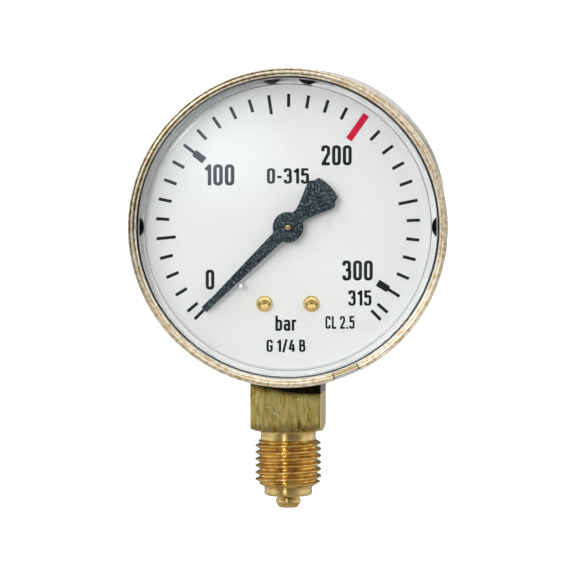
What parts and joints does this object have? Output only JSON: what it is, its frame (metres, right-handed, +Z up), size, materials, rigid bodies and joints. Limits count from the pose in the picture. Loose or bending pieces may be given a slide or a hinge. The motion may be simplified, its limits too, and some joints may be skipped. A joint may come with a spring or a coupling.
{
  "type": "pressure gauge",
  "caption": "Round Bourdon-tube pressure gauge with bottom threaded stem, square spanner flats, snap ring, clear window, dial and pointer driven by a sector movement",
  "frame": {"origin": "on the stem axis at the sealing face of the connection, where the collar ends", "axes": "+Z up the stem, -Y out of the dial, +X to the reader's right"},
  "size_m": [0.0624, 0.0275, 0.0876],
  "materials": {
    "socket_brass": "machined, tarnished on the square",
    "throttle_brass": "machined",
    "case_steel": "deep drawn, satin",
    "ring_brass": "brushed, brass coloured",
    "window_plastic": "clear, polished",
    "dial_white": "white print base with black and red print",
    "screw_brass": "polished",
    "spacer_brass": "machined",
    "stop_pin_white": "white",
    "pointer_black": "matt black, fine texture",
    "arbor_brass": "turned",
    "movement_brass": "stamped and cut",
    "movement_steel": "turned",
    "spring_bronze": "rolled strip",
    "tube_bronze": "drawn tube",
    "case_screw_steel": "zinc plated",
    "plug_plastic": "moulded"
  },
  "bodies": {
    "case": {"socket": "socket_brass", "throttle_screw": "throttle_brass", "case_shell": "case_steel", "blow_out_plug": "plug_plastic", "case_screw_left": "case_screw_steel", "case_screw_right": "case_screw_steel", "bezel_ring": "ring_brass", "window": "window_plastic", "dial": "dial_white", "stop_pin": "stop_pin_white", "dial_screw_left": "screw_brass", "dial_screw_right": "screw_brass", "dial_spacer_left": "spacer_brass", "dial_spacer_right": "spacer_brass", "rear_plate": "movement_brass", "front_plate": "movement_brass", "pillar_left": "movement_brass", "pillar_right": "movement_brass", "pillar_upper": "movement_brass", "movement_screw_left": "movement_steel", "movement_screw_right": "movement_steel", "plate_screw": "movement_steel", "hairspring": "spring_bronze", "hairspring_stud": "movement_brass", "bourdon_tube": "tube_bronze"},
    "pointer": {"pointer": "pointer_black", "pointer_arbor": "arbor_brass", "pointer_bush": "movement_brass", "pinion": "movement_brass", "hairspring_collet": "movement_brass"},
    "sector": {"sector_gear": "movement_brass", "sector_arbor": "movement_steel", "sector_pin": "movement_steel"},
    "tube_tip": {"tube_end": "movement_brass", "tip_pin": "movement_steel"},
    "link": {"link": "movement_steel"}
  },
  "joints": [
    {"name": "pointer_sweep", "type": "hinge", "parent": "case", "child": "pointer", "pos_m": [0, 0, 0.054], "axis": [0, 1, 0], "range_deg": [0, 270], "stiffness_Nm_per_rad": 0.0001, "springref_deg": -17.19, "deforming": ["hairspring"]},
    {"name": "sector_swing", "type": "hinge", "parent": "case", "child": "sector", "pos_m": [-0.0132, 0, 0.054], "axis": [0, 1, 0], "range_deg": [-27.5, 0]},
    {"name": "tube_tip_swing", "type": "hinge", "parent": "case", "child": "tube_tip", "pos_m": [0, 0, 0.054], "axis": [0, 1, 0], "range_deg": [-13, 0], "deforming": ["bourdon_tube"]},
    {"name": "link_swing", "type": "hinge", "parent": "tube_tip", "child": "link", "pos_m": [-0.01198, 0, 0.04266], "axis": [0, 1, 0], "range_deg": [0, 13]}
  ],
  "couplings": [
    {"joint": "sector_swing", "follows": "pointer_sweep", "ratio": -0.1},
    {"joint": "tube_tip_swing", "follows": "pointer_sweep", "ratio": -0.048},
    {"joint": "link_swing", "follows": "pointer_sweep", "ratio": 0.048}
  ]
}
